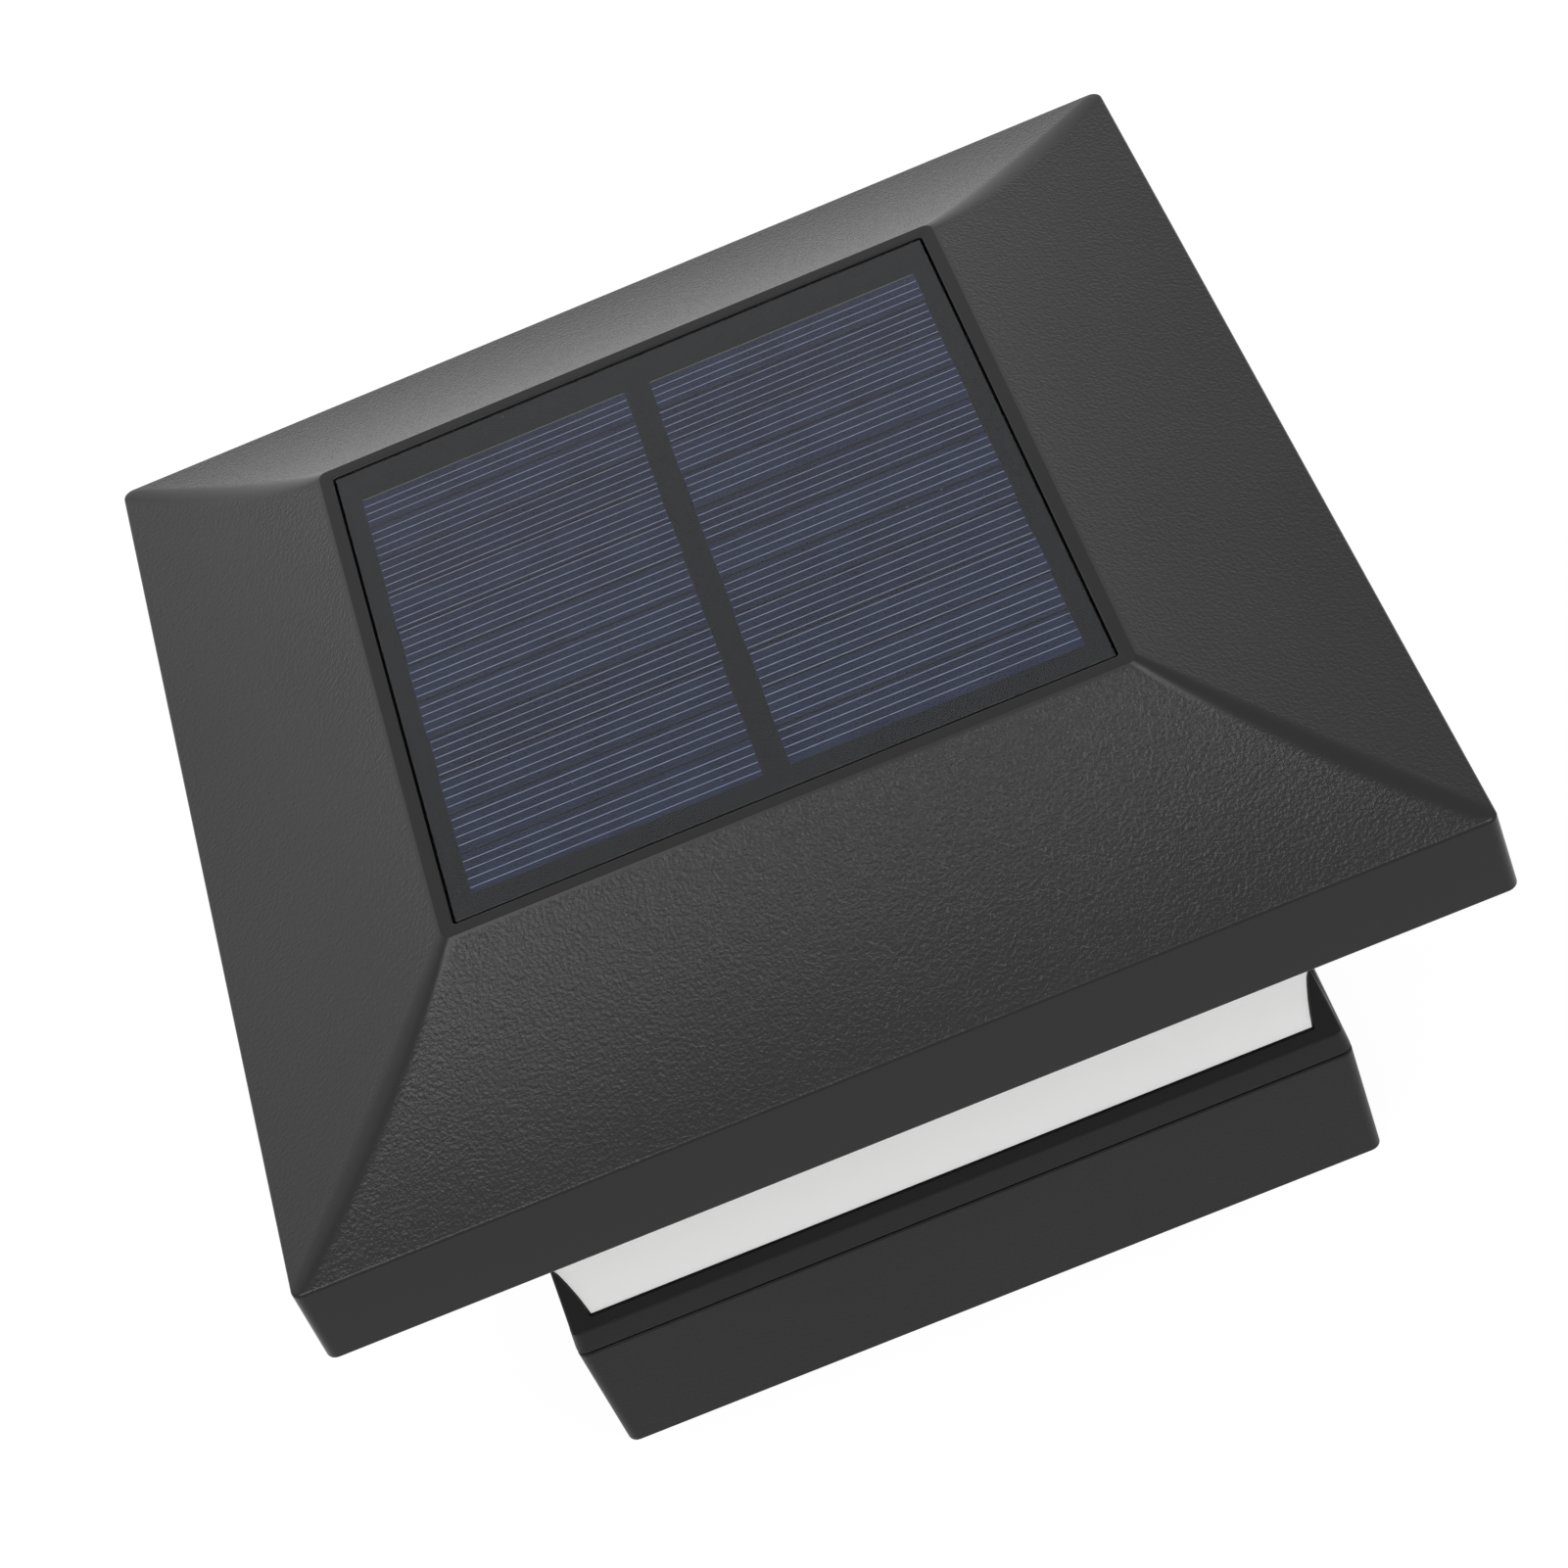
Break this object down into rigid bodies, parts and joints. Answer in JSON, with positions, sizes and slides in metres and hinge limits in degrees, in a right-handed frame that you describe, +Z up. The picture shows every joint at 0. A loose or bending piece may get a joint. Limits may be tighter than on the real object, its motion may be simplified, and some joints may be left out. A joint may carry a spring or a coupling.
{
  "type": "solar post cap light",
  "caption": "Square solar light that slips over a fence post: concave hipped roof with a solar panel in its flat top, opal lens band under the eaves, square skirt, slide switch beneath.",
  "frame": {"origin": "middle of the skirt's bottom rim, the plane on which the light stands", "axes": "+Z up through the roof, -Y towards the face with no fixing holes that the picture shows, +X to its right"},
  "size_m": [0.1508, 0.1508, 0.095],
  "materials": {
    "black_plastic": "fine matte grain",
    "dark_plastic": "smooth",
    "opal": "translucent, satin",
    "glass": "clear, smooth",
    "solar_cell": "glossy under the glass",
    "board_black": "matte",
    "board_green": "solder mask",
    "white_plastic": "matte",
    "led_yellow": "phosphor",
    "foam": "foam",
    "seal_rubber": "matte",
    "cell_sleeve": "shrink sleeve",
    "aluminium_can": "satin",
    "steel": "zinc plated",
    "copper": "bare",
    "wire_red": "insulation",
    "wire_black": "insulation"
  },
  "bodies": {
    "light": {"roof_cover": "black_plastic", "panel_glass": "glass", "solar_cells": "solar_cell", "panel_board": "board_black", "panel_gasket": "foam", "lens": "opal", "lens_bezel": "dark_plastic", "lens_seal_top": "seal_rubber", "lens_seal_bottom": "seal_rubber", "head_base": "black_plastic", "post_skirt": "black_plastic", "soffit": "black_plastic", "soffit_seal": "seal_rubber", "reflector_core": "white_plastic", "led_board": "white_plastic", "leds": "led_yellow", "circuit_board": "board_green", "control_chip": "board_black", "inductor": "board_black", "capacitor": "aluminium_can", "lead_sockets": "white_plastic", "battery_box": "black_plastic", "battery_cell": "cell_sleeve", "battery_spring": "steel", "battery_contact": "steel", "battery_cover": "black_plastic", "battery_cover_seal": "seal_rubber", "switch_case": "steel", "switch_base": "board_black", "switch_pins": "copper", "soffit_screws": "steel", "pillar_screws": "steel", "skirt_screws": "steel", "battery_cover_screws": "steel", "switch_screws": "steel", "circuit_screws": "steel", "led_board_screws": "steel", "panel_leads": "wire_red", "battery_leads": "wire_red", "switch_leads": "wire_black", "led_leads": "wire_black"},
    "switch_knob": {"switch_slider": "dark_plastic", "switch_clip": "copper"}
  },
  "joints": [
    {"name": "switch_slide", "type": "slide", "parent": "light", "child": "switch_knob", "axis": [1, 0, 0], "range_m": [0, 0.003]}
  ]
}
